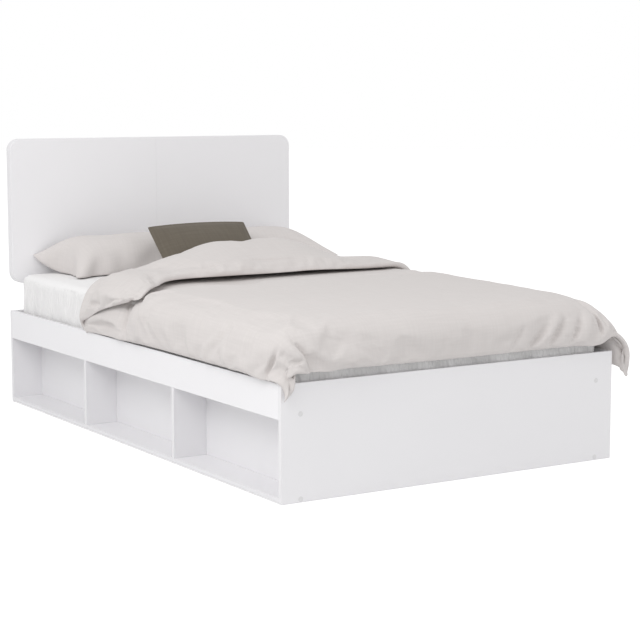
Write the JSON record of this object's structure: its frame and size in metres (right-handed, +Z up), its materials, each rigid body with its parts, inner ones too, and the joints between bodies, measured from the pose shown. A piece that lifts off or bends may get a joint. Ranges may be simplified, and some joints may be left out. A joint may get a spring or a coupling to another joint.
{
  "type": "small double bed",
  "caption": "Small double bed: white board base with open side shelves, raised two-panel headboard, slats, mattress, turned-down duvet, pillows and a cushion.",
  "frame": {"origin": "on the floor at the middle of the base, under the centre leg", "axes": "+X to the right seen from the foot, +Y from the foot to the head, +Z up"},
  "size_m": [1.3779, 2.075, 1.008],
  "materials": {
    "white_board": "white satin foil on board",
    "bare_wood": "planed pine",
    "zinc_steel": "zinc plated",
    "cover_plastic": "white matt",
    "glide_plastic": "black matt",
    "mattress_ticking": "gathered white knit",
    "linen": "washed linen",
    "taupe_linen": "dark heavy linen"
  },
  "bodies": {
    "base": {"carcass_screws": "zinc_steel", "centre_beam": "bare_wood", "centre_leg": "bare_wood", "corner_dowels": "bare_wood", "foot_beam_hanger": "zinc_steel", "foot_panel": "white_board", "hanger_screws": "zinc_steel", "head_beam_hanger": "zinc_steel", "head_panel": "white_board", "headboard_bolts": "zinc_steel", "headboard_centre_rail": "white_board", "headboard_left_leg": "white_board", "headboard_left_panel": "white_board", "headboard_left_rail": "white_board", "headboard_left_stile": "white_board", "headboard_nuts": "zinc_steel", "headboard_right_leg": "white_board", "headboard_right_panel": "white_board", "headboard_right_rail": "white_board", "headboard_right_stile": "white_board", "headboard_screws": "zinc_steel", "headboard_top_rail": "white_board", "left_bottom_shelf": "white_board", "left_divider_1": "white_board", "left_divider_2": "white_board", "left_shelf_back": "white_board", "left_side_rail": "white_board", "left_top_shelf": "white_board", "leg_glide": "glide_plastic", "leg_stud": "zinc_steel", "panel_screws": "zinc_steel", "rail_dowels": "bare_wood", "right_bottom_shelf": "white_board", "right_divider_1": "white_board", "right_divider_2": "white_board", "right_shelf_back": "white_board", "right_side_rail": "white_board", "right_top_shelf": "white_board", "screw_covers": "cover_plastic", "slat_1": "bare_wood", "slat_10": "bare_wood", "slat_11": "bare_wood", "slat_12": "bare_wood", "slat_13": "bare_wood", "slat_2": "bare_wood", "slat_3": "bare_wood", "slat_4": "bare_wood", "slat_5": "bare_wood", "slat_6": "bare_wood", "slat_7": "bare_wood", "slat_8": "bare_wood", "slat_9": "bare_wood", "slat_screws": "zinc_steel"},
    "mattress": {"mattress": "mattress_ticking"},
    "duvet": {"duvet": "linen"},
    "pillows": {"left_pillow": "linen", "right_pillow": "linen"},
    "cushion": {"cushion": "taupe_linen"}
  },
  "joints": [
    {"name": "mattress_lift", "type": "slide", "parent": "base", "child": "mattress", "axis": [0, 0, 1], "range_m": [0, 0.4]},
    {"name": "duvet_lift", "type": "slide", "parent": "mattress", "child": "duvet", "axis": [0, 0, 1], "range_m": [0, 0.4]},
    {"name": "pillows_lift", "type": "slide", "parent": "mattress", "child": "pillows", "axis": [0, 0, 1], "range_m": [0, 0.3]},
    {"name": "cushion_lift", "type": "slide", "parent": "pillows", "child": "cushion", "axis": [0, 0, 1], "range_m": [0, 0.3]}
  ]
}
